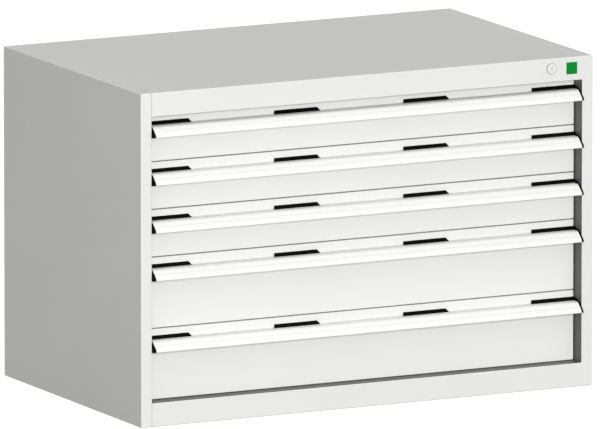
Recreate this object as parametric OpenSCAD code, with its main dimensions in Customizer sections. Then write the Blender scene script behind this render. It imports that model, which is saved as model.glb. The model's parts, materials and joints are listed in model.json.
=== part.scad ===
// Five-drawer steel cabinet with full-width grip handles, telescopic ball slides and a cam lock.
// Frame: origin at the middle of the base on the floor, +X to the cabinet's right seen from the
// front, +Y towards its back, +Z up. The drawers open towards -Y.

/* [Cabinet] */
// Width over the side panels
cabinet_w = 1050; // [800:10:1300]
// Depth from the front posts to the back panel flange
cabinet_d = 650; // [650:10:800]
// Height from the floor to the top panel
cabinet_h = 700; // [650:10:900]
// Height of the fascia above the drawers
fascia_h = 50; // [48:1:60]
// Height of the plinth below the drawers
plinth_h = 50; // [40:1:80]
// Width of each front post
post_w = 25; // [22:1:30]
// Thickness of the cabinet's sheet steel
shell_t = 1.5; // [1:0.1:2]

/* [Drawers] */
// Pitch of each of the three upper drawers
shallow_pitch = 100; // [95:1:110]
// Distance from the posts' front faces back to the drawer fronts
front_recess = 32.5; // [30:0.5:34]
// Gap around each drawer front
front_gap = 2; // [1.5:0.1:3]
// Thickness of the drawer sheet steel
tray_t = 1.2; // [0.8:0.1:1.4]
// Depth of a drawer front's folded edges
front_fold = 14; // [12:1:16]
// Inside depth of a drawer tray
tray_inside_d = 525; // [450:5:530]
// How much lower a tray is than its drawer's pitch
tray_drop = 25; // [24:1:30]

/* [Slides] */
// Thickness of a closed slide, from upright to tray
slide_t = 19.5; // [19:0.1:21]
// Length of each slide member
slide_len = 580; // [540:5:590]
// Travel of a drawer
travel = 575; // [400:5:580]
// Diameter of the slide balls
ball_d = 4; // [3.8:0.1:4.2]
// Balls in each row of a cage
balls_per_row = 6; // [3:1:10]

/* [Handle] */
// Drop of the handle's flat top below the drawer's pitch line
handle_drop = 21.5; // [18:0.5:24]
// How far the handle's lip stands out from the drawer front
handle_reach = 43; // [36:0.5:44]
// Height of the handle from its lip to its flat top
handle_h = 21; // [20:0.5:24]
// Angle of the sloping face below the horizontal
slope_angle = 42.4; // [38:0.1:48]
// Thickness of the handle's wall
handle_t = 2; // [1.8:0.1:2.4]
// Width of a clip on the handle's flat top
clip_w = 99; // [60:0.5:110]

/* [Lock] */
// Distance from the middle of the cabinet to the lock's axis
lock_x = 428; // [300:1:430]
// Diameter of the lock housing's rim
lock_rim_d = 23; // [21:0.5:26]
// Distance from the lock's axis to the pin on its cam
cam_r = 12; // [11:0.5:13]
// Side of the square badge
badge_size = 25; // [15:1:28]

/* [Hidden] */
$fn = 64;
overlap = 1;            // how far a cutter reaches past the face that it cuts
shallow_drawers = 3;
deep_drawers = 2;
drawer_count = shallow_drawers + deep_drawers;
half_w = cabinet_w / 2;
half_d = cabinet_d / 2;
opening_half_w = half_w - post_w;
opening_h = cabinet_h - fascia_h - plinth_h;
deep_pitch = (opening_h - shallow_drawers * shallow_pitch) / deep_drawers;
front_y = -half_d + front_recess;       // outer plane of the drawer fronts
front_back_y = front_y + front_fold;    // back edge of the drawer fronts' folds

// Folds of the cabinet's sheets
post_depth = 63;
post_lip = 12;
fold_w = 15;
rear_flange_w = 20;
shelf_lip = 25;
rivet_d = 4;
rivet_count = 6;
rivet_x = half_w - rear_flange_w / 2;
rivet_clearance = 0.1;
rivet_end_margin = 70;
rivet_head_h = 1;
rivet_bulb_h = 2;
rivet_bulb_d = 1.4 * rivet_d;

// Uprights
tray_inset = 36.3;                      // from the edge of the opening in to a tray's side wall
tray_half_w = opening_half_w - tray_inset;
upright_x = tray_half_w + slide_t;      // face that carries the cabinet rails
upright_w = 30;
upright_setback = 20.5;
upright_top_gap = 5;
rail_overhang = 120;                    // how much longer a slide is than the uprights' spacing
front_upright_y = front_back_y + upright_setback;
rear_upright_y = front_upright_y + slide_len - rail_overhang;
slot_pitch = 25;
slot_w = 4;
slot_h = 10;

// Trays
tray_gap = 0.1;
tray_y = front_back_y + tray_gap;
tray_d = tray_inside_d + 2 * tray_t;
tray_lift = 6;                          // tray floor above the drawer's lower pitch line
tray_flange = 7;
wall_slot_pitch = 50;
wall_slot_w = 4;
wall_slot_margin = 14;

// Slides, in their own section: u runs from the upright to the tray, v up from the middle
rail_t = 1.5;
slide_rise = 30;                        // middle of a slide above the tray floor
slide_setback = 2.5;
slide_y = front_back_y + slide_setback;
ball_gap = 0.25;                        // clearance between a ball and each rail
outer_half_h = 23;
outer_depth = 11;
middle_half_h = outer_half_h - rail_t - ball_d - 2 * ball_gap;
middle_u = 5;
middle_end_u = 16;
inner_half_h = middle_half_h - rail_t - ball_d - 2 * ball_gap;
inner_start_u = 9;
cage_t = 0.6;
cage_wrap = 0.5;                        // how far a cage's flanges reach past its balls
outer_cage_u = 3;
outer_ball_u = 8;
inner_cage_u = 7.5;
inner_ball_u = 12.5;
cage_end_gap = 6;
cage_len = slide_len - travel / 2 - 2 * cage_end_gap;
lug_len = 4;
lug_h = 4;

// Handle section: f forward from the drawer front, d down from the handle's flat top
cap_t = 4.2;
cap_proud = 0.4;
cap_gap = 0.8;                          // between an end cap and the edge of the opening
cap_end = opening_half_w - cap_gap;
handle_len = 2 * (cap_end - cap_t);
flange_drop = 27;
nose_r = 14.2;
lip_r = 6.8;
lip_rise = 4.4;                         // height of the upright part of the lip, before rounding
label_w = 9;
label_t = 0.8;
label_groove = 1;
label_margin = 0.5;                     // between the label groove and the lip
clip_h = 7;
clip_depth = 8;
clip_nose_h = 0.8;
clip_flare = 4;                         // how far a clip's sloping end spreads over its depth
clip_count = 4;
clip_pitch = 300;
clip_margin = 2;                        // between the last clip and the handle's end
cap_back_drop = 24;
cap_ramp = [15, -3];                    // where the cap's top line turns down to the nose
cap_ramp_run = 6;
cap_heel = [12, 2];                     // back from the lip and down, where the cap's lower line ends
arc_steps = 8;

// Lock
lock_drop = 21.5;
lock_z = cabinet_h - lock_drop;
lock_barrel_d = 18.8;
lock_bore_clearance = 0.05;
plug_d = 12;
rim_t = 2.5;
barrel_len = 18;
nut_across_flats = 23;
nut_t = 4;
plug_recess = 0.6;
key_slot = [1.8, 6.5];
key_slot_depth = 8;
cam_gap = 0.2;
cam_t = 2.5;
cam_arm_w = 9;
cam_hub_d = 16;
tail_side = 7;
tail_clearance = 0.05;
pin_d = 5;
pin_len = 6.5;
swing = 45;                             // the cam swings this far above and below level
cam_y = -half_d + shell_t + barrel_len; // front face of the cam
badge_inset = 24.7;
badge_drop = 23.5;
badge_x = opening_half_w - badge_inset;
badge_z = cabinet_h - badge_drop;
badge_t = 1;

// Locking bar
bar_t = 2;
bar_gap = 0.8;
bar_setback = 2.5;
bar_x = upright_x + bar_gap;
bar_y = front_back_y + bar_setback;
bar_w = 14;
bar_arm_gap = 1.5;
bar_arm_y = cam_y + cam_t + bar_arm_gap;
bar_arm_h = 14;
bar_arm_past_lock = 4;
bar_arm_start = lock_x + bar_arm_past_lock;
pin_clearance = 0.5;
flag_gap = 3;
flag_bottom = opening_h + plinth_h + flag_gap;
flag_h = 22;
hook_rise = 30;
hook_h = 12;
hook_reach = 9;
hook_inset = 2.5;
hook_back_y = bar_y + bar_w - hook_inset;
finger_gap = 4;
finger_setback = 5.5;
finger_y = hook_back_y - finger_setback;
finger_w = 11;
bar_foot = 8;
guide_wall = 2;
guide_front = 1.5;
guide_h = 16;
guide_gap = 0.3;
guide_rise = 84;

panel_white = [0.92, 0.92, 0.91];
steel = [0.72, 0.73, 0.74];
aluminium = [0.96, 0.96, 0.95];
clip_black = [0.04, 0.04, 0.04];

drawer_pieces = [
    "tray", "front", "handle", "handle_clips", "label",
    "drawer_rails", "middle_rails", "cabinet_ball_cages", "drawer_ball_cages"
];

// ---- Helpers ----

function drawer_node(k, piece) = str("drawer_", k, "_", piece);

// Drawer 1 is the top one
function pitch_of(k) = k <= shallow_drawers ? shallow_pitch : deep_pitch;
function top_of(k) = k == 1 ? plinth_h + opening_h : top_of(k - 1) - pitch_of(k - 1);
function bottom_of(k) = top_of(k) - pitch_of(k);
function floor_of(k) = bottom_of(k) + tray_lift;

// Points of an arc about a centre, from one angle to another
function arc(centre, r, from, to) = [
    for (i = [0 : arc_steps])
        let (a = from + (to - from) * i / arc_steps)
            centre + r * [cos(a), sin(a)]
];

// A box from its lowest corner to its highest corner
module box(low, high) {
    translate(low) cube(high - low);
}

// The same shape on both sides of the cabinet
module both_sides() {
    children();
    mirror([1, 0, 0]) children();
}

// A shape drawn in X and Z, extruded along Y from y0 to y1
module along_y(y0, y1) {
    translate([0, y1, 0]) rotate([90, 0, 0]) linear_extrude(y1 - y0) children();
}

// A shape drawn forward and down from a drawer front's face, extruded along X between two places
module along_x(x0, x1, top_z) {
    translate([x0, front_y, top_z])
        rotate([90, 0, 90])
            linear_extrude(x1 - x0) mirror([1, 0]) mirror([0, 1]) children();
}

// ---- Cabinet ----

// Outer wall, front post, rear flange, and top and bottom flanges of the right side panel
module side_sheet() {
    linear_extrude(cabinet_h) {
        translate([half_w - shell_t, -half_d]) square([shell_t, cabinet_d]);
        translate([opening_half_w, -half_d]) square([post_w, shell_t]);
        translate([opening_half_w, -half_d]) square([shell_t, post_depth]);
        translate([opening_half_w, -half_d + post_depth - shell_t]) square([post_lip, shell_t]);
        translate([half_w - rear_flange_w, half_d - shell_t]) square([rear_flange_w, shell_t]);
    }
    for (z = [0, cabinet_h - shell_t])
        translate([opening_half_w, -half_d, z])
            cube([post_w, cabinet_d, shell_t]);
    translate([opening_half_w, -half_d, cabinet_h - fold_w])
        cube([shell_t, cabinet_d, fold_w]);
}

module side_panel() {
    difference() {
        side_sheet();
        rivet_holes();
    }
}

module side_panel_right() {
    color(panel_white) side_panel();
}

module side_panel_left() {
    color(panel_white) mirror([1, 0, 0]) side_panel();
}

// Top with the fascia folded down in front, a return below it and folds along the other edges
module top_panel() {
    fascia_z = cabinet_h - fascia_h;
    color(panel_white) difference() {
        union() {
            box([-opening_half_w, -half_d, cabinet_h - shell_t], [opening_half_w, half_d, cabinet_h]);
            box([-opening_half_w, -half_d, fascia_z], [opening_half_w, -half_d + shell_t, cabinet_h]);
            box([-opening_half_w, -half_d, fascia_z],
                [opening_half_w, -half_d + shelf_lip, fascia_z + shell_t]);
            box([-opening_half_w, half_d - shell_t, cabinet_h - fold_w],
                [opening_half_w, half_d, cabinet_h]);
            both_sides()
                box([opening_half_w - shell_t, -half_d + post_depth, cabinet_h - fold_w],
                    [opening_half_w, half_d, cabinet_h]);
        }
        translate([lock_x, -half_d, lock_z])
            rotate([-90, 0, 0])
                translate([0, 0, -overlap])
                    cylinder(d = lock_barrel_d, h = shell_t + 2 * overlap);
    }
}

// Floor with the plinth and a rear skirt folded down from it, folds along its sides, and a flat
// foot frame on the ground that ties the two together
module base_panel() {
    post_back = -half_d + post_depth;
    floor_half_w = half_w - shell_t;
    back_y = half_d - 2 * shell_t;
    floor_z = plinth_h - shell_t;
    color(panel_white) {
        box([-opening_half_w, -half_d, floor_z], [opening_half_w, post_back, plinth_h]);
        box([-floor_half_w, post_back, floor_z], [floor_half_w, back_y, plinth_h]);
        box([-opening_half_w, -half_d, 0], [opening_half_w, -half_d + shell_t, plinth_h]);
        box([-opening_half_w, back_y - shell_t, 0], [opening_half_w, back_y, plinth_h]);
        difference() {
            box([-opening_half_w, -half_d, 0], [opening_half_w, back_y, shell_t]);
            box([-opening_half_w + shelf_lip, -half_d + shelf_lip, -overlap],
                [opening_half_w - shelf_lip, back_y - shelf_lip, shell_t + overlap]);
        }
        both_sides()
            box([floor_half_w - shell_t, post_back, floor_z - fold_w],
                [floor_half_w, back_y, plinth_h]);
    }
}

module back_panel() {
    edge = half_w - shell_t;
    color(panel_white) difference() {
        box([-edge, half_d - 2 * shell_t, shell_t],
            [edge, half_d - shell_t, cabinet_h - shell_t - fold_w]);
        rivet_holes();
    }
}

// Heights of the rivets down each side of the back
function rivet_z(i) =
    rivet_end_margin + i * (cabinet_h - 2 * rivet_end_margin) / (rivet_count - 1);

module at_rivets() {
    for (i = [0 : rivet_count - 1])
        both_sides()
            translate([rivet_x, half_d, rivet_z(i)])
                rotate([-90, 0, 0]) children();
}

module rivet_holes() {
    at_rivets()
        translate([0, 0, -3 * shell_t])
            cylinder(d = rivet_d + 2 * rivet_clearance, h = 4 * shell_t);
}

// A blind rivet: low head outside, shank through both sheets and a bulb inside
module rivet() {
    cylinder(d = 2 * rivet_d, h = rivet_head_h);
    translate([0, 0, -2 * shell_t]) cylinder(d = rivet_d, h = 2 * shell_t);
    translate([0, 0, -2 * shell_t - rivet_bulb_h]) cylinder(d = rivet_bulb_d, h = rivet_bulb_h);
}

module back_rivets() {
    color(steel) at_rivets() rivet();
}

module upright_slot(y, z) {
    box([upright_x - overlap, y + (upright_w - slot_w) / 2, z - slot_h / 2],
        [upright_x + shell_t + overlap, y + (upright_w + slot_w) / 2, z + slot_h / 2]);
}

// Channel with its slotted face towards the drawers and its flanges welded to the side panel
module upright(y) {
    low = plinth_h;
    high = cabinet_h - fold_w - upright_top_gap;
    outer_x = half_w - shell_t;
    difference() {
        union() {
            box([upright_x, y, low], [upright_x + shell_t, y + upright_w, high]);
            for (edge = [y, y + upright_w - shell_t])
                box([upright_x, edge, low], [outer_x, edge + shell_t, high]);
        }
        for (z = [slide_z(drawer_count) - slot_pitch : slot_pitch : high - slot_h])
            upright_slot(y, z);
        for (k = [1 : drawer_count])
            upright_slot(y, slide_z(k));
    }
}

module slotted_uprights() {
    color(steel) both_sides() {
        upright(front_upright_y);
        upright(rear_upright_y);
    }
}

// ---- Slides ----

function slide_z(k) = floor_of(k) + slide_rise;

// Puts a slide section drawn in u and v on the right side of drawer k
module slide_section(k, y0, y1) {
    along_y(y0, y1)
        translate([upright_x, slide_z(k)]) mirror([1, 0]) children();
}

// A channel from u0, open towards the tray, with flanges reaching u1
module channel(u0, u1, half_h, t) {
    translate([u0, -half_h]) square([t, 2 * half_h]);
    for (v = [-half_h, half_h - t])
        translate([u0, v]) square([u1 - u0, t]);
}

// Rails fixed to the uprights, with two lugs each through the slots
module cabinet_rails() {
    color(steel) both_sides()
        for (k = [1 : drawer_count]) {
            slide_section(k, slide_y, slide_y + slide_len)
                channel(0, outer_depth, outer_half_h, rail_t);
            for (y = [front_upright_y, rear_upright_y])
                box([upright_x - overlap, y + (upright_w - rail_t) / 2, slide_z(k) - lug_h],
                    [upright_x + lug_len, y + (upright_w + rail_t) / 2, slide_z(k) + lug_h]);
        }
}

module middle_rails(k) {
    color(steel) both_sides()
        slide_section(k, slide_y, slide_y + slide_len)
            channel(middle_u, middle_end_u, middle_half_h, rail_t);
}

// Rails fixed to the tray, open towards the cabinet
module drawer_rails(k) {
    color(steel) both_sides()
        slide_section(k, slide_y, slide_y + slide_len)
            translate([slide_t, 0]) mirror([1, 0])
                channel(0, slide_t - inner_start_u, inner_half_h, rail_t);
}

// A retainer with a row of balls in its top and its bottom edge
module ball_cage(k, u0, ball_u, row_v) {
    y0 = slide_y + travel / 4 + cage_end_gap;
    ball_pitch = cage_len / balls_per_row;
    slide_section(k, y0, y0 + cage_len)
        channel(u0, ball_u + ball_d / 2 + cage_wrap, row_v + cage_t / 2, cage_t);
    for (i = [0 : balls_per_row - 1], side = [-1, 1])
        translate([upright_x - ball_u, y0 + (i + 0.5) * ball_pitch, slide_z(k) + side * row_v])
            sphere(d = ball_d, $fn = 32);
}

module cabinet_ball_cages(k) {
    row_v = outer_half_h - rail_t - ball_gap - ball_d / 2;
    color(steel) both_sides() ball_cage(k, outer_cage_u, outer_ball_u, row_v);
}

module drawer_ball_cages(k) {
    row_v = middle_half_h - rail_t - ball_gap - ball_d / 2;
    color(steel) both_sides() ball_cage(k, inner_cage_u, inner_ball_u, row_v);
}

// ---- Drawers ----

// Slots for dividers, in the front and back walls
module wall_slots(z0, z1) {
    last = tray_half_w - wall_slot_margin;
    count = floor(2 * last / wall_slot_pitch);
    for (i = [0 : count - 1]) {
        x = (i - (count - 1) / 2) * wall_slot_pitch;
        box([x - wall_slot_w / 2, tray_y - overlap, z0],
            [x + wall_slot_w / 2, tray_y + tray_d + overlap, z1]);
    }
}

// Open box with a flange turned outwards along each side wall and the back wall
module tray(k) {
    z0 = floor_of(k);
    z1 = z0 + pitch_of(k) - tray_drop;
    color(panel_white) difference() {
        union() {
            difference() {
                box([-tray_half_w, tray_y, z0], [tray_half_w, tray_y + tray_d, z1]);
                box([-tray_half_w + tray_t, tray_y + tray_t, z0 + tray_t],
                    [tray_half_w - tray_t, tray_y + tray_d - tray_t, z1 + overlap]);
            }
            both_sides()
                box([tray_half_w - tray_t, tray_y, z1 - tray_t],
                    [tray_half_w + tray_flange, tray_y + tray_d, z1]);
            box([-tray_half_w, tray_y + tray_d - tray_t, z1 - tray_t],
                [tray_half_w, tray_y + tray_d + tray_flange, z1]);
        }
        wall_slots(z0 + wall_slot_margin, z1 - wall_slot_margin);
    }
}

// Flat face with folded edges; the right fold carries the hook that the locking bar holds
module front(k) {
    x = opening_half_w - front_gap;
    z0 = bottom_of(k) + front_gap / 2;
    z1 = top_of(k) - front_gap / 2;
    hook_z = bottom_of(k) + hook_rise;
    color(panel_white) {
        difference() {
            box([-x, front_y, z0], [x, front_back_y, z1]);
            box([-x + tray_t, front_y + tray_t, z0 + tray_t],
                [x - tray_t, front_back_y + overlap, z1 - tray_t]);
        }
        box([x - tray_t, front_back_y - overlap, hook_z], [x, hook_back_y, hook_z + hook_h]);
        box([x - hook_reach, hook_back_y - tray_t, hook_z], [x, hook_back_y, hook_z + hook_h]);
    }
}

// Outer line of the handle from the drawer face over the nose to the lip; inset draws its inner line
function handle_line(inset) =
    let (
        corner_f = handle_reach - (handle_h - lip_rise) / tan(slope_angle),
        nose_run = nose_r * tan(slope_angle / 2),
        lip_run = lip_r * tan((90 - slope_angle) / 2),
        nose_c = [corner_f - nose_run, nose_r],
        lip_c = [handle_reach - lip_r, handle_h - lip_rise + lip_run]
    )
    concat(
        [[0, inset]],
        arc(nose_c, nose_r - inset, -90, -90 + slope_angle),
        arc(lip_c, lip_r - inset, -90 + slope_angle, 0),
        [[handle_reach - inset, handle_h]]
    );

function reversed(points) = [for (i = [len(points) - 1 : -1 : 0]) points[i]];

// Frame at the lower corner of the label groove: first axis down the slope, second into the metal
module on_slope() {
    lip_start = handle_line(0)[arc_steps + 2];
    translate(lip_start) rotate(slope_angle) translate([-label_margin, 0]) children();
}

// One extruded section: flat top, sloping face with a label groove, lip, and a flange on the drawer
module handle(k) {
    color(aluminium)
        along_x(-handle_len / 2, handle_len / 2, top_of(k) - handle_drop)
            difference() {
                union() {
                    polygon(concat(handle_line(0), reversed(handle_line(handle_t))));
                    square([handle_t, flange_drop]);
                }
                on_slope()
                    translate([-label_w, -overlap]) square([label_w, label_groove + overlap]);
            }
}

module label(k) {
    color("white")
        along_x(-handle_len / 2, handle_len / 2, top_of(k) - handle_drop)
            on_slope()
                translate([-label_w, label_groove - label_t]) square([label_w, label_t]);
}

// End plate that follows the handle's outer line and stands a little proud of it
module cap_section() {
    polygon(concat(
        [[0, -clip_h]],
        [cap_ramp],
        [for (p = handle_line(-cap_proud)) if (p[0] > cap_ramp[0] + cap_ramp_run) p],
        [[handle_reach - cap_heel[0], handle_h + cap_heel[1]]],
        [[handle_t, cap_back_drop], [0, cap_back_drop]]
    ));
}

// Wedge on the handle's flat top, highest at the drawer face, with its ends spreading forward
module clip(x0, x1, top_z) {
    intersection() {
        along_x(x0 - clip_flare, x1 + clip_flare, top_z)
            polygon([[0, -clip_h], [clip_depth, -clip_nose_h], [clip_depth, 0], [0, 0]]);
        translate([0, front_y, top_z]) linear_extrude(clip_h) polygon([
            [x0, 0], [x0 - clip_flare, -clip_depth], [x1 + clip_flare, -clip_depth], [x1, 0]
        ]);
    }
}

// Two end caps, and clips at an even pitch; the first and the last clip are one with the caps
module handle_clips(k) {
    top_z = top_of(k) - handle_drop;
    last_x = cap_end - clip_margin - clip_w;
    color(clip_black) {
        for (i = [0 : clip_count - 1])
            let (x = max(-cap_end, last_x - i * clip_pitch))
                intersection() {
                    clip(x, x + clip_w, top_z);
                    along_x(-cap_end, cap_end, top_z) translate([0, -clip_h]) square(clip_depth);
                }
        along_x(-cap_end, cap_t - cap_end, top_z) cap_section();
        along_x(cap_end - cap_t, cap_end, top_z) cap_section();
    }
}

// ---- Lock ----

module at_lock() {
    translate([lock_x, -half_d, lock_z]) rotate([-90, 0, 0]) children();
}

module lock_housing() {
    color(steel) at_lock() difference() {
        union() {
            translate([0, 0, -rim_t]) cylinder(d = lock_rim_d, h = rim_t);
            cylinder(d = lock_barrel_d - 0.1, h = shell_t + barrel_len - cam_gap);
        }
        translate([0, 0, -rim_t - overlap])
            cylinder(d = plug_d + 2 * lock_bore_clearance, h = rim_t + shell_t + barrel_len + 2 * overlap);
    }
}

module lock_nut() {
    color(steel) at_lock()
        translate([0, 0, shell_t]) difference() {
            cylinder(d = nut_across_flats / cos(30), h = nut_t, $fn = 6);
            translate([0, 0, -overlap]) cylinder(d = lock_barrel_d, h = nut_t + 2 * overlap);
        }
}

// Cylinder with a key slot in front and a square tail that drives the cam
module lock_plug() {
    front_end = -rim_t + plug_recess;
    back_end = shell_t + barrel_len;
    color(steel) at_lock() difference() {
        union() {
            translate([0, 0, front_end]) cylinder(d = plug_d, h = back_end - front_end);
            translate([0, 0, back_end + cam_t / 2]) cube([tail_side, tail_side, cam_t], center = true);
        }
        translate([0, 0, front_end + key_slot_depth / 2 - overlap / 2])
            cube([key_slot[0], key_slot[1], key_slot_depth + overlap], center = true);
    }
}

// Plate on the plug's tail with a pin that lifts the locking bar
module lock_cam() {
    hole = tail_side + 2 * tail_clearance;
    color(steel) at_lock() rotate([0, 0, swing]) translate([0, 0, shell_t + barrel_len]) {
        difference() {
            union() {
                cylinder(d = cam_hub_d, h = cam_t);
                translate([0, -cam_arm_w / 2, 0]) cube([cam_r, cam_arm_w, cam_t]);
                translate([cam_r, 0, 0]) cylinder(d = cam_arm_w, h = cam_t);
            }
            rotate([0, 0, -swing])
                translate([0, 0, cam_t / 2]) cube([hole, hole, 2 * cam_t], center = true);
        }
        translate([cam_r, 0, 0]) cylinder(d = pin_d, h = pin_len);
    }
}

// Vertical strip with a finger for each drawer and, at the top, an arm that the cam's pin lifts
module locking_bar() {
    rest_pin_z = lock_z - cam_r * sin(swing);
    slot_hw = cam_r * (1 - cos(swing)) / 2 + pin_d / 2 + pin_clearance;
    slot_hh = pin_d / 2 + pin_clearance;
    slot_x = lock_x + cam_r * (1 + cos(swing)) / 2;
    color(steel) difference() {
        union() {
            box([bar_x, bar_y, plinth_h + bar_foot], [bar_x + bar_t, bar_y + bar_w, flag_bottom + flag_h]);
            box([bar_x, bar_arm_y, flag_bottom], [bar_x + bar_t, bar_y + bar_w, flag_bottom + flag_h]);
            box([bar_arm_start, bar_arm_y, rest_pin_z - bar_arm_h / 2],
                [bar_x + bar_t, bar_arm_y + bar_t, rest_pin_z + bar_arm_h / 2]);
            for (k = [1 : drawer_count]) {
                finger_z = bottom_of(k) + hook_rise - finger_gap - hook_h;
                box([bar_x, finger_y, finger_z], [bar_x + finger_w, finger_y + bar_t, finger_z + hook_h]);
            }
        }
        box([slot_x - slot_hw, bar_arm_y - overlap, rest_pin_z - slot_hh],
            [slot_x + slot_hw, bar_arm_y + bar_t + overlap, rest_pin_z + slot_hh]);
    }
}

// Two blocks on the front right upright that the locking bar slides in
module bar_guides() {
    wall = guide_wall + guide_gap;
    color(clip_black)
        for (k = [2, 4]) {
            z = bottom_of(k) + guide_rise;
            difference() {
                box([bar_x - wall + bar_gap, bar_y - guide_front, z],
                    [bar_x + bar_t + wall, front_upright_y, z + guide_h]);
                box([bar_x - guide_gap, bar_y - guide_gap, z - overlap],
                    [bar_x + bar_t + guide_gap, bar_y + bar_w + guide_gap, z + guide_h + overlap]);
            }
        }
}

module badge() {
    color([0.02, 0.6, 0.23])
        box([badge_x - badge_size / 2, -half_d - badge_t, badge_z - badge_size / 2],
            [badge_x + badge_size / 2, -half_d, badge_z + badge_size / 2]);
}

// ---- Nodes ----

side_panel_left();
side_panel_right();
top_panel();
base_panel();
back_panel();
slotted_uprights();
cabinet_rails();
back_rivets();
badge();
lock_housing();
lock_nut();
lock_plug();
lock_cam();
locking_bar();
bar_guides();
for (k = [1 : drawer_count]) {
    tray(k);
    front(k);
    handle(k);
    handle_clips(k);
    label(k);
    drawer_rails(k);
    middle_rails(k);
    cabinet_ball_cages(k);
    drawer_ball_cages(k);
}
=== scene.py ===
"""Looks of the five-drawer steel cabinet.

Bent-sheet panels and drawer fronts, handles, lock face and badge, materials, light and camera.
Places come from the CAD frame. Lengths are in metres and the front of the cabinet faces -Y.
"""

import json
import math

import bmesh
import bpy
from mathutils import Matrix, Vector


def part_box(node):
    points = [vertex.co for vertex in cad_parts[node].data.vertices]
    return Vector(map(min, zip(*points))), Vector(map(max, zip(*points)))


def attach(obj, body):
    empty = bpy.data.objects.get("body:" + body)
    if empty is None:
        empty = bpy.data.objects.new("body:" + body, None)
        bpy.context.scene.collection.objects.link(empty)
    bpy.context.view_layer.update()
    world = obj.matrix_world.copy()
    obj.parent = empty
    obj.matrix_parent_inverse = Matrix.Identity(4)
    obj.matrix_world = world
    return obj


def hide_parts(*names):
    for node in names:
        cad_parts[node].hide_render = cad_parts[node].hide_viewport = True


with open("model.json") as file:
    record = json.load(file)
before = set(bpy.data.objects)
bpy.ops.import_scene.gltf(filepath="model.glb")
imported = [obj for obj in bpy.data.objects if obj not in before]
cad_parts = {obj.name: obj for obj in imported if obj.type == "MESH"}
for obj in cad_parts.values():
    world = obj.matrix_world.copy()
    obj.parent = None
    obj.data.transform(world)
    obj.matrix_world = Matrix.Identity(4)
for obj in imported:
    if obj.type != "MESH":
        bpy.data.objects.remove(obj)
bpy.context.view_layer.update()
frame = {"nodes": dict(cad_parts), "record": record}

MM = 0.001

# Places, from the frame
SIDE_LOW, SIDE_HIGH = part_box("side_panel_right")
BASE_LOW, BASE_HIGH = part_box("base_panel")
FASCIA_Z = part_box("top_panel")[0].z
BACK_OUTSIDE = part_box("back_panel")[1].y
HALF_W = SIDE_HIGH.x
POST_IN = SIDE_LOW.x
FRONT_Y = SIDE_LOW.y
BACK_Y = SIDE_HIGH.y
TOP_Z = SIDE_HIGH.z
MIDDLE = Vector((0, 0, TOP_Z / 2))
DRAWERS = range(1, 6)

# Sheet sizes that the node boxes don't give
SHELL_T = 1.5 * MM
TRAY_T = 1.2 * MM
POST_DEPTH = 63 * MM
POST_LIP = 12 * MM
POST_LIP_GAP = 2 * MM
FOLD_W = 15 * MM
REAR_FLANGE = 20 * MM
SHELF_LIP = 25 * MM
FRONT_FOLD = 14 * MM
HOOK_RISE = 29 * MM
HOOK_H = 12 * MM
HOOK_REACH = 9 * MM
BEND = 1.6 * MM
BEND_STEPS = 4
FLAT_ANGLE = 0.1

# Rounded edges, matched corners and the hold of flat faces on the shading
SHEET_EDGE = 0.25 * MM
SMALL_EDGE = 0.3 * MM
EDGE_STEPS = 2
CORNER_DIGITS = 6
WELD_GAP = 0.01 * MM
FLAT_WEIGHT = 100

# Handle section: forward from the drawer face and down from the handle's flat top
HANDLE_T = 2 * MM
HANDLE_H = 21 * MM
LIP_RISE = 4.4 * MM
SLOPE = math.radians(42.4)
NOSE_R = 14.2 * MM
LIP_R = 6.8 * MM
ARC_STEPS = 10
GROOVE_W = 9 * MM
GROOVE_D = 1 * MM
GROOVE_MARGIN = 0.5 * MM
CARD_T = 0.7 * MM
CARD_CROWN = 0.15 * MM
CARD_STEPS = 8

# End caps and clips; the ramp, rim and heel are in the handle section's axes
CAP_T = 4.2 * MM
CAP_PROUD = 0.4 * MM
CAP_RAMP = (15 * MM, -3 * MM)
CAP_RAMP_RUN = 6 * MM
CAP_HEEL = (12 * MM, 2 * MM)
CAP_DROP = 24 * MM
CLIP_W = 99 * MM
CLIP_H = 7 * MM
CLIP_DEPTH = 8 * MM
CLIP_NOSE = 0.8 * MM
CLIP_FLARE = 4 * MM
CLIP_COUNT = 4
CLIP_PITCH = 300 * MM
CLIP_MARGIN = 2 * MM

# Lock face: steps are (depth behind the face, distance outside the bore or inside the rim)
LOCK_CLEARANCE = 0.05 * MM
LOCK_BARREL_R = 9.35 * MM
LOCK_BORE_EDGE = ((0.6 * MM, 0), (0.15 * MM, 0.4 * MM), (0, 1 * MM))
LOCK_RIM_EDGE = ((0.1 * MM, 2.2 * MM), (0.5 * MM, 1 * MM), (1.2 * MM, 0.25 * MM), (2 * MM, 0))
LOCK_STEPS = 64

BADGE_RIM = 1.4 * MM
BADGE_DISH = 0.25 * MM
BADGE_EDGE = 0.2 * MM

# Colours: pairs are the darker and the lighter end of a material's variation, and the
# factors give a coat's darker tone and its lighter edges
BODY_COLOUR = (0.60, 0.60, 0.588)
# Painted shade: the dark colour of the faces inside the cabinet's opening
OPENING_SHADE_COLOUR = (0.085, 0.085, 0.083)
# Painted light: the drawer fronts take a lighter copy of the body's paint, making up for the
# shade on their recessed faces
DRAWER_LIT_COLOUR = (0.642, 0.642, 0.63)
HANDLE_COLOUR = (0.70, 0.70, 0.69)
ZINC_COLOURS = ((0.50, 0.52, 0.54), (0.62, 0.62, 0.60))
BLACK_COLOUR = (0.002, 0.002, 0.0022)
BLACK_EDGE_COLOUR = (0.008, 0.008, 0.0085)
CARD_COLOURS = ((0.66, 0.66, 0.65), (0.70, 0.70, 0.69))
GREEN_COLOURS = ((0.0012, 0.16, 0.020), (0.0016, 0.20, 0.026))
LOCK_COLOURS = ((0.60, 0.60, 0.588), (0.64, 0.64, 0.628))
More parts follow.
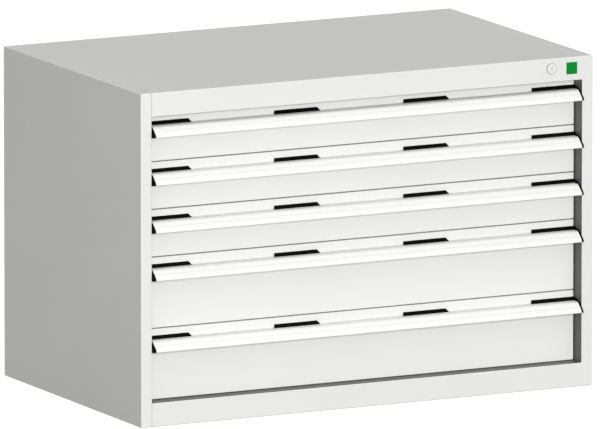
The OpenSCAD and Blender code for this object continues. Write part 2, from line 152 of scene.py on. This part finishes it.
# Painted shade on the lock rim's side wall
RIM_SHADE_COLOUR = (0.07, 0.07, 0.07)
COAT_SHADE = 0.972
COAT_EDGE = 1.02
EXTRUSION_SHADE = 0.975
FLOOR_COLOURS = ((0.245, 0.245, 0.245), (0.255, 0.255, 0.255))

# Where painted shade starts: on the lock rim's side wall and on the faces inside the cabinet's
# opening
RIM_SHADE_DEPTH = 1.65 * MM
OPENING_SHADE_FRONT = 0.8 * MM
OPENING_SHADE_BACK = 0.6 * MM

# Stage: the sky is a level and a growth towards the ceiling, raised towards the front
FLOOR_RADIUS = 80
FLOOR_STEPS = 64
FLOOR_DROP = 0.5 * MM
FLOOR_GLOW = 0.86
SKY_LEVEL = 0.06
SKY_ABOVE = 1.05
SKY_FRONT = 0.3
LIGHT_DISTANCE = 18
LIGHT_SIZE = (4.8, 2.8)

# Light name, azimuth and elevation in degrees, power in watts
LIGHTS = (
    ("front_light", -20, 11, 3430),
    ("rear_light", 160, 10, 1700),
)

# Camera: angles in degrees, lens and sensor in millimetres, shift in sensor widths
CAMERA_AZIMUTH = -26.714
CAMERA_ELEVATION = 10.358
CAMERA_DISTANCE = 37.296
CAMERA_LENS = 1070.57
CAMERA_SENSOR = 36
CAMERA_SHIFT = (0.0038, 0.00185)
CAMERA_REACH = 400


# ---- Mesh building ----


def new_object(name, bm):
    mesh = bpy.data.meshes.new(name)
    bm.to_mesh(mesh)
    bm.free()
    obj = bpy.data.objects.new(name, mesh)
    bpy.context.scene.collection.objects.link(obj)
    return obj


def apply_modifiers(obj):
    """Turns the object's modifiers into plain mesh."""
    graph = bpy.context.evaluated_depsgraph_get()
    mesh = bpy.data.meshes.new_from_object(obj.evaluated_get(graph))
    obj.modifiers.clear()
    obj.data = mesh


def weigh_normals(obj):
    """Keeps flat faces flat beside the rounded edges."""
    normals = obj.modifiers.new("normals", "WEIGHTED_NORMAL")
    normals.weight = FLAT_WEIGHT
    return normals


def smooth(obj):
    """Smooth shading that keeps flat faces flat."""
    for polygon in obj.data.polygons:
        polygon.use_smooth = True
    weigh_normals(obj).keep_sharp = True


def add_bevel(obj, width, degrees=40):
    """Rounds the edges that turn by more than the given angle."""
    bevel = obj.modifiers.new("edges", "BEVEL")
    bevel.width = width
    bevel.segments = EDGE_STEPS
    bevel.limit_method = "ANGLE"
    bevel.angle_limit = math.radians(degrees)
    bevel.use_clamp_overlap = True


def solid_piece(name, bm, edge, degrees):
    """A solid with rounded edges and smooth shading."""
    obj = new_object(name, bm)
    add_bevel(obj, edge, degrees)
    apply_modifiers(obj)
    smooth(obj)
    return obj


def mesh_from_faces(faces):
    """A bmesh of the given outlines, joined where corners meet, facing away from its middle."""
    bm = bmesh.new()
    corners = {}
    for outline in faces:
        row = []
        for point in outline:
            key = tuple(round(c, CORNER_DIGITS) for c in point)
            if key not in corners:
                corners[key] = bm.verts.new(point)
            row.append(corners[key])
        bm.faces.new(row)
    bmesh.ops.recalc_face_normals(bm, faces=bm.faces)
    middle = sum((v.co for v in bm.verts), Vector()) / len(bm.verts)
    outward = sum(
        f.normal.dot(f.calc_center_median() - middle) * f.calc_area() for f in bm.faces
    )
    if outward < 0:
        bmesh.ops.reverse_faces(bm, faces=bm.faces)
    return bm


def folded_sheet(name, faces, thickness):
    """Sheet metal from its outer faces: shared edges become bends, then it gets its thickness."""
    bm = mesh_from_faces(faces)
    folds = [
        e for e in bm.edges if len(e.link_faces) == 2 and e.calc_face_angle() > FLAT_ANGLE
    ]
    bmesh.ops.bevel(
        bm, geom=folds, offset=BEND, offset_type="OFFSET", segments=BEND_STEPS,
        profile=0.5, affect="EDGES", clamp_overlap=True,
    )
    obj = new_object(name, bm)
    solid = obj.modifiers.new("thickness", "SOLIDIFY")
    solid.thickness = thickness
    solid.offset = -1
    solid.use_even_offset = True
    add_bevel(obj, SHEET_EDGE, degrees=60)
    apply_modifiers(obj)
    smooth(obj)
    return obj


def extrude_x(outline, x0, x1, bm=None):
    """Adds a closed (y, z) outline, extruded along X, to a bmesh."""
    bm = bm or bmesh.new()
    start = [bm.verts.new((x0, y, z)) for y, z in outline]
    end = [bm.verts.new((x1, y, z)) for y, z in outline]
    bm.faces.new(start)
    bm.faces.new(end[::-1])
    count = len(outline)
    for i in range(count):
        j = (i + 1) % count
        bm.faces.new((start[j], start[i], end[i], end[j]))
    bmesh.ops.recalc_face_normals(bm, faces=bm.faces)
    return bm


def arc(centre, radius, start, stop):
    """Points of an arc in the handle's section; angles run from forward towards down."""
    return [
        (centre[0] + radius * math.cos(a), centre[1] + radius * math.sin(a))
        for a in (start + (stop - start) * i / ARC_STEPS for i in range(ARC_STEPS + 1))
    ]


# ---- Cabinet panels ----


def side_panel(side):
    """One folded side: wall, front post with its return and lip, rear, top and bottom flanges."""
    w, p, f, b, h = HALF_W, POST_IN, FRONT_Y, BACK_Y, TOP_Z
    yi = f + POST_DEPTH
    rear = w - REAR_FLANGE
    lip_low, lip_high = POST_LIP_GAP, h - POST_LIP_GAP
    y_fold, z_fold = yi + POST_LIP_GAP, h - FOLD_W
    faces = [
        [(w, f, 0), (w, b, 0), (w, b, h), (w, f, h)],
        [(p, f, 0), (w, f, 0), (w, f, h), (p, f, h)],
        [(p, f, 0), (p, yi, 0), (p, yi, lip_low), (p, yi, lip_high), (p, yi, h), (p, f, h)],
        [
            (p, yi, lip_low), (p + POST_LIP, yi, lip_low),
            (p + POST_LIP, yi, lip_high), (p, yi, lip_high),
        ],
        [(w, b, 0), (rear, b, 0), (rear, b, h), (w, b, h)],
        [
            (p, f, h), (w, f, h), (w, b, h), (rear, b, h),
            (p, b, h), (p, y_fold, h), (p, yi, h),
        ],
        [(p, f, 0), (w, f, 0), (w, b, 0), (rear, b, 0), (p, b, 0), (p, yi, 0)],
        [(p, y_fold, h), (p, b, h), (p, b, z_fold), (p, y_fold, z_fold)],
    ]
    name = "right" if side > 0 else "left"
    faces = [[(side * x, y, z) for x, y, z in outline] for outline in faces]
    return folded_sheet(f"side_sheet_{name}", faces, SHELL_T)


def top_sheet():
    """Top with the fascia and its return folded down in front, and folds along other edges."""
    p, f, b, h = POST_IN, FRONT_Y, BACK_Y, TOP_Z
    zf = FASCIA_Z
    ys = f + POST_DEPTH
    low = h - FOLD_W
    faces = [
        [(-p, f, h), (p, f, h), (p, ys, h), (p, b, h), (-p, b, h), (-p, ys, h)],
        [(-p, f, h), (p, f, h), (p, f, zf), (-p, f, zf)],
        [(-p, f, zf), (p, f, zf), (p, f + SHELF_LIP, zf), (-p, f + SHELF_LIP, zf)],
        [(-p, b, h), (p, b, h), (p, b, low), (-p, b, low)],
        [(p, ys, h), (p, b, h), (p, b, low), (p, ys, low)],
        [(-p, ys, h), (-p, b, h), (-p, b, low), (-p, ys, low)],
    ]
    return folded_sheet("top_sheet", faces, SHELL_T)


def base_sheet():
    """Floor with the plinth, rear skirt and side folds, and the flat foot frame on the ground."""
    p, f, w, b, z = POST_IN, BASE_LOW.y, BASE_HIGH.x, BASE_HIGH.y, BASE_HIGH.z
    yi = f + POST_DEPTH
    low = z - SHELL_T - FOLD_W
    foot_x, foot_f, foot_b = p - SHELF_LIP, f + SHELF_LIP, b - SHELF_LIP
    faces = [
        [
            (-p, f, z), (p, f, z), (p, yi, z), (w, yi, z), (w, b, z),
            (p, b, z), (-p, b, z), (-w, b, z), (-w, yi, z), (-p, yi, z),
        ],
        [(-p, f, z), (p, f, z), (p, f, 0), (-p, f, 0)],
        [(-p, b, z), (p, b, z), (p, b, 0), (-p, b, 0)],
        [(-p, f, 0), (p, f, 0), (foot_x, foot_f, 0), (-foot_x, foot_f, 0)],
        [(-p, b, 0), (p, b, 0), (foot_x, foot_b, 0), (-foot_x, foot_b, 0)],
        [(p, f, 0), (p, b, 0), (foot_x, foot_b, 0), (foot_x, foot_f, 0)],
        [(-p, f, 0), (-p, b, 0), (-foot_x, foot_b, 0), (-foot_x, foot_f, 0)],
        [(w, yi, z), (w, b, z), (w, b, low), (w, yi, low)],
        [(-w, yi, z), (-w, b, z), (-w, b, low), (-w, yi, low)],
    ]
    return folded_sheet("base_sheet", faces, SHELL_T)


# ---- Drawer pieces ----


def drawer_front(k):
    """Flat face with folded edges; the right fold runs back to the hook for the locking bar."""
    low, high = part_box(f"drawer_{k}_front")
    x, f, back, z0, z1 = high.x, low.y, low.y + FRONT_FOLD, low.z, high.z
    hook_x, hook_y = x - HOOK_REACH, high.y
    h0 = low.z + HOOK_RISE
    h1 = h0 + HOOK_H
    faces = [
        [(-x, f, z0), (x, f, z0), (x, f, z1), (-x, f, z1)],
        [(-x, f, z1), (x, f, z1), (x, back, z1), (-x, back, z1)],
        [(-x, f, z0), (x, f, z0), (x, back, z0), (-x, back, z0)],
        [(-x, f, z0), (-x, f, z1), (-x, back, z1), (-x, back, z0)],
        [(x, f, z0), (x, f, z1), (x, back, z1), (x, back, h1), (x, back, h0), (x, back, z0)],
        [(x, back, h0), (x, back, h1), (x, hook_y, h1), (x, hook_y, h0)],
        [(x, hook_y, h0), (x, hook_y, h1), (hook_x, hook_y, h1), (hook_x, hook_y, h0)],
    ]
    return folded_sheet(f"drawer_{k}_face", faces, TRAY_T)


def handle_arcs(reach, inset=0):
    """The arcs of the handle's nose and lip; the inset gives those of its inner line."""
    corner = reach - (HANDLE_H - LIP_RISE) / math.tan(SLOPE)
    nose_run = NOSE_R * math.tan(SLOPE / 2)
    lip_run = LIP_R * math.tan((math.pi / 2 - SLOPE) / 2)
    nose_centre = (corner - nose_run, NOSE_R)
    nose = arc(nose_centre, NOSE_R - inset, -math.pi / 2, -math.pi / 2 + SLOPE)
    lip_centre = (reach - LIP_R, HANDLE_H - LIP_RISE + lip_run)
    lip = arc(lip_centre, LIP_R - inset, -math.pi / 2 + SLOPE, 0)
    return nose, lip


def groove(lip_start):
    """Corners of the label groove, on the sloping face just above the lip."""
    along = Vector((math.cos(SLOPE), math.sin(SLOPE)))
    inward = Vector((-math.sin(SLOPE), math.cos(SLOPE)))
    low = Vector(lip_start) - along * GROOVE_MARGIN
    high = low - along * GROOVE_W
    return [tuple(p) for p in (high, high + inward * GROOVE_D, low + inward * GROOVE_D, low)]


def to_world(section, face_y, top_z):
    """Handle section points (forward, down) to (y, z)."""
    return [(face_y - forward, top_z - down) for forward, down in section]


def handle(k):
    """Extruded handle: flat top, rounded nose, sloping face with the label groove, and lip."""
    low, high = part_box(f"drawer_{k}_handle")
    reach = high.y - low.y
    drop = high.z - low.z
    nose, lip = handle_arcs(reach)
    inner_nose, inner_lip = handle_arcs(reach, inset=HANDLE_T)
    section = [(0, 0)] + nose + groove(lip[0]) + lip + [(reach, HANDLE_H)]
    section += [(reach - HANDLE_T, HANDLE_H)] + inner_lip[::-1] + inner_nose[::-1]
    section += [(HANDLE_T, HANDLE_T), (HANDLE_T, drop), (0, drop)]
    bm = extrude_x(to_world(section, high.y, high.z), low.x, high.x)
    return solid_piece(f"drawer_{k}_grip", bm, SMALL_EDGE, degrees=35)


def cap_section(reach):
    """End cap: a ramp over the flat top, then a rim just outside the handle's own line."""
    nose, lip = handle_arcs(reach, inset=-CAP_PROUD)
    rim = [p for p in nose + lip if p[0] > CAP_RAMP[0] + CAP_RAMP_RUN]
    heel = (reach - CAP_HEEL[0], HANDLE_H + CAP_HEEL[1])
    return (
        [(0, -CLIP_H), CAP_RAMP] + rim
        + [(reach + CAP_PROUD, HANDLE_H), heel, (HANDLE_T, CAP_DROP), (0, CAP_DROP)]
    )


def handle_clips(k):
    """End caps and the four clips on the flat top, with ends that spread forward."""
    low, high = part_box(f"drawer_{k}_handle_clips")
    handle_low, handle_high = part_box(f"drawer_{k}_handle")
    reach = handle_high.y - handle_low.y
    top_z, face_y = handle_high.z, handle_high.y
    bm = bmesh.new()
    section = to_world(cap_section(reach), face_y, top_z)
    extrude_x(section, low.x, low.x + CAP_T, bm)
    extrude_x(section, high.x - CAP_T, high.x, bm)
    for i in range(CLIP_COUNT):
        x0 = max(low.x, high.x - CLIP_MARGIN - CLIP_W - i * CLIP_PITCH)
        x1 = x0 + CLIP_W
        rows = []
        for x, flared in ((x0, x0 - CLIP_FLARE), (x1, x1 + CLIP_FLARE)):
            # An end inside a cap runs straight to the cap's outer face
            if not low.x + CAP_T < x < high.x - CAP_T:
                x = flared = max(low.x, min(high.x, flared))
            rows.append([
                bm.verts.new((x, face_y, top_z)),
                bm.verts.new((x, face_y, top_z + CLIP_H)),
                bm.verts.new((flared, face_y - CLIP_DEPTH, top_z + CLIP_NOSE)),
                bm.verts.new((flared, face_y - CLIP_DEPTH, top_z)),
            ])
        a, b = rows
        bm.faces.new(a)
        bm.faces.new(b[::-1])
        for j in range(4):
            n = (j + 1) % 4
            bm.faces.new((a[n], a[j], b[j], b[n]))
    bmesh.ops.recalc_face_normals(bm, faces=bm.faces)
    return solid_piece(f"drawer_{k}_caps", bm, SMALL_EDGE, degrees=20)


def label(k):
    """Card strip in the handle's groove, slightly crowned."""
    low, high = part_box(f"drawer_{k}_handle")
    lip = handle_arcs(high.y - low.y)[1]
    corners = groove(lip[0])
    a, b = Vector(corners[1]), Vector(corners[2])
    width = (b - a).length
    along = (b - a).normalized()
    out = Vector((along.y, -along.x))
    crowned = [
        b - along * width * i / CARD_STEPS
        + out * (CARD_T + CARD_CROWN * math.sin(math.pi * i / CARD_STEPS))
        for i in range(CARD_STEPS + 1)
    ]
    section = [tuple(p) for p in [a, b] + crowned]
    bm = extrude_x(to_world(section, high.y, high.z), low.x, high.x)
    obj = new_object(f"drawer_{k}_card", bm)
    smooth(obj)
    return obj


# ---- Lock and badge ----


def turned(profile, axis_x, axis_z):
    """A closed (y, radius) profile turned about a line along Y."""
    bm = bmesh.new()
    rings = []
    for y, radius in profile:
        ring = []
        for i in range(LOCK_STEPS):
            a = 2 * math.pi * i / LOCK_STEPS
            x, z = axis_x + radius * math.cos(a), axis_z + radius * math.sin(a)
            ring.append(bm.verts.new((x, y, z)))
        rings.append(ring)
    for a, b in zip(rings, rings[1:] + rings[:1]):
        for i in range(LOCK_STEPS):
            j = (i + 1) % LOCK_STEPS
            bm.faces.new((a[i], a[j], b[j], b[i]))
    bmesh.ops.recalc_face_normals(bm, faces=bm.faces)
    return bm


def lock_face():
    """Domed rim, barrel and bore of the lock housing."""
    low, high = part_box("lock_housing")
    plug_low, plug_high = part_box("lock_plug")
    x, z = (low.x + high.x) / 2, (low.z + high.z) / 2
    rim_r = (high.x - low.x) / 2
    bore_r = (plug_high.x - plug_low.x) / 2 + LOCK_CLEARANCE
    profile = [(high.y, bore_r)]
    profile += [(low.y + depth, bore_r + outside) for depth, outside in LOCK_BORE_EDGE]
    profile += [(low.y + depth, rim_r - inside) for depth, inside in LOCK_RIM_EDGE]
    profile += [(FRONT_Y, rim_r), (FRONT_Y, LOCK_BARREL_R), (high.y, LOCK_BARREL_R)]
    obj = new_object("lock_face", turned(profile, x, z))
    smooth(obj)
    return obj


def badge_plate():
    """Plain square badge with a soft raised rim."""
    low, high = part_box("badge")
    bm = bmesh.new()
    bmesh.ops.create_cube(bm, size=1)
    size, centre = high - low, (high + low) / 2
    for v in bm.verts:
        v.co = Vector(c * s for c, s in zip(v.co, size)) + centre
    front = min(bm.faces, key=lambda f: f.calc_center_median().y)
    bmesh.ops.inset_individual(bm, faces=[front], thickness=BADGE_RIM)
    for v in front.verts:
        v.co.y += BADGE_DISH
    return solid_piece("badge_plate", bm, BADGE_EDGE, degrees=15)


# ---- Materials ----


class Shader:
    """A small builder for node materials."""

    # The Mix node's sockets for colours
    MIX_A, MIX_B, MIX_RESULT = 6, 7, 2

    def __init__(self, name):
        self.material = bpy.data.materials.new(name)
        self.material.use_nodes = True
        self.tree = self.material.node_tree
        self.nodes = self.tree.nodes
        self.principled = self.nodes["Principled BSDF"]
        self.coordinates = self.nodes.new("ShaderNodeTexCoord").outputs["Object"]

    def link(self, output, target):
        self.tree.links.new(output, target)

    def set(self, **values):
        """Sets inputs of the surface, named with _ for spaces."""
        for key, value in values.items():
            self.principled.inputs[key.replace("_", " ")].default_value = value

    def noise(self, scale, detail=4, roughness=0.5, stretch=(1, 1, 1)):
        """Cloudy variation; the scale is roughly the number of features per metre."""
        mapping = self.nodes.new("ShaderNodeMapping")
        mapping.inputs["Scale"].default_value = stretch
        self.link(self.coordinates, mapping.inputs["Vector"])
        noise = self.nodes.new("ShaderNodeTexNoise")
        noise.inputs["Scale"].default_value = scale
        noise.inputs["Detail"].default_value = detail
        noise.inputs["Roughness"].default_value = roughness
        self.link(mapping.outputs["Vector"], noise.inputs["Vector"])
        return noise.outputs["Fac"]

    def ramp(self, source, colours, low=0.3, high=0.7):
        """Turns a value between low and high into one between two colours."""
        ramp = self.nodes.new("ShaderNodeValToRGB")
        ramp.color_ramp.elements[0].position = low
        ramp.color_ramp.elements[1].position = high
        for element, colour in zip(ramp.color_ramp.elements, colours):
            element.color = (*colour, 1)
        self.link(source, ramp.inputs["Fac"])
        return ramp.outputs["Color"]

    def range(self, source, low, high):
        """Maps a value between 0 and 1 to one between low and high."""
        node = self.nodes.new("ShaderNodeMapRange")
        node.inputs["To Min"].default_value = low
        node.inputs["To Max"].default_value = high
        self.link(source, node.inputs["Value"])
        return node.outputs["Result"]

    def fade(self, value, zero, one):
        """Rises from 0 to 1 as the value goes from one limit to the other."""
        node = self.nodes.new("ShaderNodeMapRange")
        node.inputs["From Min"].default_value = zero
        node.inputs["From Max"].default_value = one
        self.link(value, node.inputs["Value"])
        return node.outputs["Result"]

    def mix(self, factor, a, b):
        """Mixes two colours; each is an output or a colour."""
        mix = self.nodes.new("ShaderNodeMix")
        mix.data_type = "RGBA"
        for value, socket in ((a, mix.inputs[self.MIX_A]), (b, mix.inputs[self.MIX_B])):
            if isinstance(value, tuple):
                socket.default_value = (*value, 1)
            else:
                self.link(value, socket)
        self.link(factor, mix.inputs["Factor"])
        return mix.outputs[self.MIX_RESULT]

    def bump(self, height, strength, distance, below=None):
        """A relief of the given depth, on top of another one if that is given."""
        bump = self.nodes.new("ShaderNodeBump")
        bump.inputs["Strength"].default_value = strength
        bump.inputs["Distance"].default_value = distance
        self.link(height, bump.inputs["Height"])
        if below:
            self.link(below, bump.inputs["Normal"])
        return bump.outputs["Normal"]

    def edge_mask(self, radius, low=0.02, high=0.25):
        """A mask that is 1 on sharp edges: where a rounded normal parts from the true one."""
        bevel = self.nodes.new("ShaderNodeBevel")
        bevel.samples = 4
        bevel.inputs["Radius"].default_value = radius
        geometry = self.nodes.new("ShaderNodeNewGeometry")
        dot = self.nodes.new("ShaderNodeVectorMath")
        dot.operation = "DOT_PRODUCT"
        self.link(bevel.outputs["Normal"], dot.inputs[0])
        self.link(geometry.outputs["Normal"], dot.inputs[1])
        return self.fade(dot.outputs["Value"], 1 - low, 1 - high)

    def between(self, value, low, high, soft=0.3 * MM):
        """1 where a value lies between two limits, fading over a short distance outside them."""
        above = self.fade(value, low - soft, low)
        below = self.fade(value, high + soft, high)
        return self.times(above, below)

    def times(self, a, b):
        """Product of two masks."""
        node = self.nodes.new("ShaderNodeMath")
        node.operation = "MULTIPLY"
        self.link(a, node.inputs[0])
        self.link(b, node.inputs[1])
        return node.outputs["Value"]

    def axis(self, letter):
        """Place along X, Y or Z in the piece's own axes."""
        axes = self.nodes.new("ShaderNodeSeparateXYZ")
        self.link(self.coordinates, axes.inputs["Vector"])
        return axes.outputs[letter]

    def opening_shade_mask(self):
        """A mask of the faces inside the cabinet's opening, behind its front edges, which take
        painted shade.
        """
        x = self.between(self.axis("X"), -POST_IN - SHELL_T, POST_IN + SHELL_T)
        z = self.between(self.axis("Z"), BASE_HIGH.z - SHELL_T, FASCIA_Z + SHELL_T)
        y = self.between(self.axis("Y"), FRONT_Y + OPENING_SHADE_FRONT, BACK_OUTSIDE - OPENING_SHADE_BACK)
        return self.times(self.times(x, z), y)

    def finish(self, colour, roughness, normal=None):
        """Joins the outputs to the surface and gives the material."""
        self.link(colour, self.principled.inputs["Base Color"])
        self.link(roughness, self.principled.inputs["Roughness"])
        if normal:
            self.link(normal, self.principled.inputs["Normal"])
        return self.material


def powder_coat(name, colour, inside=None):
    """Baked powder coat: fine orange peel, faint clouds of tone, and edges a touch lighter; when
    a shade colour is given, painted shade on the faces inside the opening.
    """
    s = Shader(name)
    shade = tuple(c * COAT_SHADE for c in colour)
    light = tuple(c * COAT_EDGE for c in colour)
    coat_tone_and_shade = s.ramp(s.noise(3.5, detail=3), (shade, colour))
    # Painted shade: the faces inside the opening take the dark shade colour
    if inside:
        coat_tone_and_shade = s.mix(s.opening_shade_mask(), coat_tone_and_shade, inside)
    edges = s.mix(s.edge_mask(radius=0.8 * MM), coat_tone_and_shade, light)
    roughness = s.range(s.noise(60, detail=3), 0.37, 0.49)
    peel_grain = s.noise(900, detail=2, roughness=0.4)
    peel = s.bump(peel_grain, strength=0.18, distance=0.12 * MM)
    waves = s.bump(s.noise(220, detail=1), strength=0.06, distance=0.25 * MM, below=peel)
    s.set(Specular_IOR_Level=0.45)
    return s.finish(edges, roughness, waves)


def zinc_plate(name):
    """Bright zinc on rolled steel: fine lines along the rails, faint bluish and yellow clouds."""
    s = Shader(name)
    clouds = s.ramp(s.noise(14), ZINC_COLOURS, low=0.35, high=0.68)
    lines = s.noise(40, detail=6, roughness=0.7, stretch=(30, 0.6, 30))
    roughness = s.range(lines, 0.24, 0.46)
    rolled = s.bump(lines, strength=0.12, distance=0.08 * MM)
    s.set(Metallic=0.75)
    return s.finish(clouds, roughness, rolled)


def moulded_black(name):
    """Black moulded plastic: spark-eroded grain, with dull grey on its edges."""
    s = Shader(name)
    grain = s.noise(1800, detail=2)
    edges = s.mix(s.edge_mask(radius=0.5 * MM), BLACK_COLOUR, BLACK_EDGE_COLOUR)
    roughness = s.range(grain, 0.5, 0.68)
    eroded = s.bump(grain, strength=0.25, distance=0.05 * MM)
    s.set(Specular_IOR_Level=0.04)
    return s.finish(edges, roughness, eroded)


def coated_extrusion(name, colour):
    """White coat on an extruded section: faint die lines along its length under a satin coat."""
    s = Shader(name)
    shade = tuple(c * EXTRUSION_SHADE for c in colour)
    lines = s.noise(60, detail=5, roughness=0.65, stretch=(0.15, 14, 14))
    tone = s.ramp(lines, (shade, colour))
    roughness = s.range(lines, 0.34, 0.42)
    peel = s.bump(s.noise(900, detail=2), strength=0.1, distance=0.1 * MM)
    drawn = s.bump(lines, strength=0.05, distance=0.1 * MM, below=peel)
    return s.finish(tone, roughness, drawn)


def card(name):
    """White label card under a clear cover: paper fibre below a smooth coat."""
    s = Shader(name)
    fibre = s.noise(420, detail=6, roughness=0.7)
    tone = s.ramp(fibre, CARD_COLOURS, high=0.75)
    roughness = s.range(fibre, 0.6, 0.8)
    paper = s.bump(fibre, strength=0.15, distance=0.04 * MM)
    s.set(Coat_Weight=0.6, Coat_Roughness=0.12)
    return s.finish(tone, roughness, paper)


def gloss_green(name):
    """Plain green enamel badge with a slightly uneven gloss."""
    s = Shader(name)
    tone = s.ramp(s.noise(90, detail=3), GREEN_COLOURS)
    roughness = s.range(s.noise(300, detail=3), 0.2, 0.34)
    uneven = s.bump(s.noise(700), strength=0.08, distance=0.05 * MM)
    s.set(Specular_IOR_Level=0.1)
    return s.finish(tone, roughness, uneven)


def lock_metal(name):
    """Satin coat over a turned face, with painted shade on the rim's side wall where it meets the
    fascia.
    """
    s = Shader(name)
    ring = s.noise(700, detail=3, roughness=0.6)
    tone = s.ramp(ring, LOCK_COLOURS)
    # Painted shade: the rim's side wall next to the fascia is made dark
    rim_shade = s.between(s.axis("Y"), FRONT_Y - RIM_SHADE_DEPTH, FRONT_Y, soft=0.2 * MM)
    tone = s.mix(rim_shade, tone, RIM_SHADE_COLOUR)
    roughness = s.range(ring, 0.3, 0.45)
    satin = s.bump(ring, strength=0.1, distance=0.05 * MM)
    return s.finish(tone, roughness, satin)


MATERIALS = {
    # The body paint carries painted shade on the faces inside the opening
    "body_paint": powder_coat("body_paint", BODY_COLOUR, inside=OPENING_SHADE_COLOUR),
    # The drawer paint is the body's paint made lighter, painted light for the recessed fronts
    "drawer_paint": powder_coat("drawer_paint", DRAWER_LIT_COLOUR),
    "handle_coat": coated_extrusion("handle_coat", HANDLE_COLOUR),
    "black_plastic": moulded_black("black_plastic"),
    "label_card": card("label_card"),
    "zinc_steel": zinc_plate("zinc_steel"),
    "badge_green": gloss_green("badge_green"),
    "lock_grey": lock_metal("lock_grey"),
}


# ---- Build ----


def place(obj, body, slot, node):
    """Gives a piece its material and its body, in place of a CAD node."""
    obj.data.materials.clear()
    obj.data.materials.append(MATERIALS[slot])
    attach(obj, body)
    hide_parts(node)


def build_cabinet():
    place(side_panel(1), "cabinet", "body_paint", "side_panel_right")
    place(side_panel(-1), "cabinet", "body_paint", "side_panel_left")
    place(top_sheet(), "cabinet", "body_paint", "top_panel")
    place(base_sheet(), "cabinet", "body_paint", "base_panel")
    place(lock_face(), "cabinet", "lock_grey", "lock_housing")
    place(badge_plate(), "cabinet", "badge_green", "badge")


def build_drawers():
    makers = (
        (drawer_front, "drawer_paint", "front"),
        (handle, "handle_coat", "handle"),
        (handle_clips, "black_plastic", "handle_clips"),
        (label, "label_card", "label"),
    )
    for k in DRAWERS:
        for make, slot, node in makers:
            place(make(k), f"drawer_{k}", slot, f"drawer_{k}_{node}")


def finish_cad_nodes():
    """Every CAD node gets its slot's material, welded corners and rounded edges."""
    slots = {part["node"]: part["material_slot"] for part in frame["record"]["subparts"]}
    for name, obj in frame["nodes"].items():
        for material_slot in obj.material_slots:
            material_slot.link = "OBJECT"
            material_slot.material = MATERIALS[slots[name]]
        obj.modifiers.new("weld", "WELD").merge_threshold = WELD_GAP
        add_bevel(obj, SHEET_EDGE)
        weigh_normals(obj)


# ---- Stage ----


def pale_floor():
    """A wide pale floor with a faint paper tooth, shown as bright as an overlit studio sweep."""
    bm = bmesh.new()
    bmesh.ops.create_circle(bm, cap_ends=True, segments=FLOOR_STEPS, radius=FLOOR_RADIUS)
    floor = new_object("floor", bm)
    floor.location.z = -FLOOR_DROP
    s = Shader("floor_paper")
    tone = s.ramp(s.noise(1.5, detail=2), FLOOR_COLOURS)
    camera_ray = s.nodes.new("ShaderNodeLightPath").outputs["Is Camera Ray"]
    s.link(s.range(camera_ray, 0, FLOOR_GLOW), s.principled.inputs["Emission Strength"])
    s.set(Emission_Color=(1, 1, 1, 1), Specular_IOR_Level=0.1)
    floor.data.materials.append(s.finish(tone, s.range(s.noise(40), 0.8, 0.95)))


def direction(azimuth, elevation):
    """Unit vector from the cabinet towards a viewer at the given angles in degrees."""
    azimuth, elevation = math.radians(azimuth), math.radians(elevation)
    return Vector((
        math.sin(azimuth) * math.cos(elevation),
        -math.cos(azimuth) * math.cos(elevation),
        math.sin(elevation),
    ))


def area_light(name, azimuth, elevation, power):
    """A soft box aimed at the cabinet, seen neither by the camera nor in reflections."""
    light = bpy.data.lights.new(name, "AREA")
    light.shape = "RECTANGLE"
    light.size, light.size_y = LIGHT_SIZE
    light.energy = power
    obj = bpy.data.objects.new(name, light)
    obj.location = MIDDLE + direction(azimuth, elevation) * LIGHT_DISTANCE
    obj.rotation_mode = "QUATERNION"
    obj.rotation_quaternion = (MIDDLE - obj.location).to_track_quat("-Z", "Y")
    obj.visible_camera = False
    obj.visible_glossy = False
    bpy.context.scene.collection.objects.link(obj)


def soft_room():
    """Light from all round, growing towards the ceiling and the front; the camera sees white."""
    world = bpy.data.worlds.new("studio")
    world.use_nodes = True
    nodes, links = world.node_tree.nodes, world.node_tree.links
    axes = nodes.new("ShaderNodeSeparateXYZ")
    links.new(nodes.new("ShaderNodeTexCoord").outputs["Generated"], axes.inputs["Vector"])
    height = nodes.new("ShaderNodeMapRange")
    height.inputs["To Min"].default_value = SKY_LEVEL
    height.inputs["To Max"].default_value = SKY_LEVEL + SKY_ABOVE
    links.new(axes.outputs["Z"], height.inputs["Value"])
    front = nodes.new("ShaderNodeMath")
    front.operation = "MULTIPLY_ADD"
    front.inputs[1].default_value = -SKY_FRONT
    front.inputs[2].default_value = 1
    links.new(axes.outputs["Y"], front.inputs[0])
    strength = nodes.new("ShaderNodeMath")
    strength.operation = "MULTIPLY"
    links.new(height.outputs["Result"], strength.inputs[0])
    links.new(front.outputs["Value"], strength.inputs[1])
    seen = nodes.new("ShaderNodeMix")
    camera_ray = nodes.new("ShaderNodeLightPath").outputs["Is Camera Ray"]
    links.new(camera_ray, seen.inputs["Factor"])
    links.new(strength.outputs["Value"], seen.inputs["A"])
    seen.inputs["B"].default_value = 1
    background = nodes["Background"]
    background.inputs["Color"].default_value = (1, 1, 1, 1)
    links.new(seen.outputs["Result"], background.inputs["Strength"])
    bpy.context.scene.world = world


def camera():
    """The photo's view: a long lens from the front left, a little above."""
    data = bpy.data.cameras.new("camera")
    data.lens = CAMERA_LENS
    data.sensor_width = CAMERA_SENSOR
    data.shift_x, data.shift_y = CAMERA_SHIFT
    data.clip_end = CAMERA_REACH
    obj = bpy.data.objects.new("camera", data)
    bpy.context.scene.collection.objects.link(obj)
    back = direction(CAMERA_AZIMUTH, CAMERA_ELEVATION)
    obj.location = MIDDLE + back * CAMERA_DISTANCE
    obj.rotation_mode = "QUATERNION"
    obj.rotation_quaternion = (-back).to_track_quat("-Z", "Y")
    bpy.context.scene.camera = obj


def stage():
    pale_floor()
    soft_room()
    for light in LIGHTS:
        area_light(*light)
    camera()
    bpy.context.scene.view_settings.view_transform = "Standard"


build_cabinet()
build_drawers()
finish_cad_nodes()
stage()
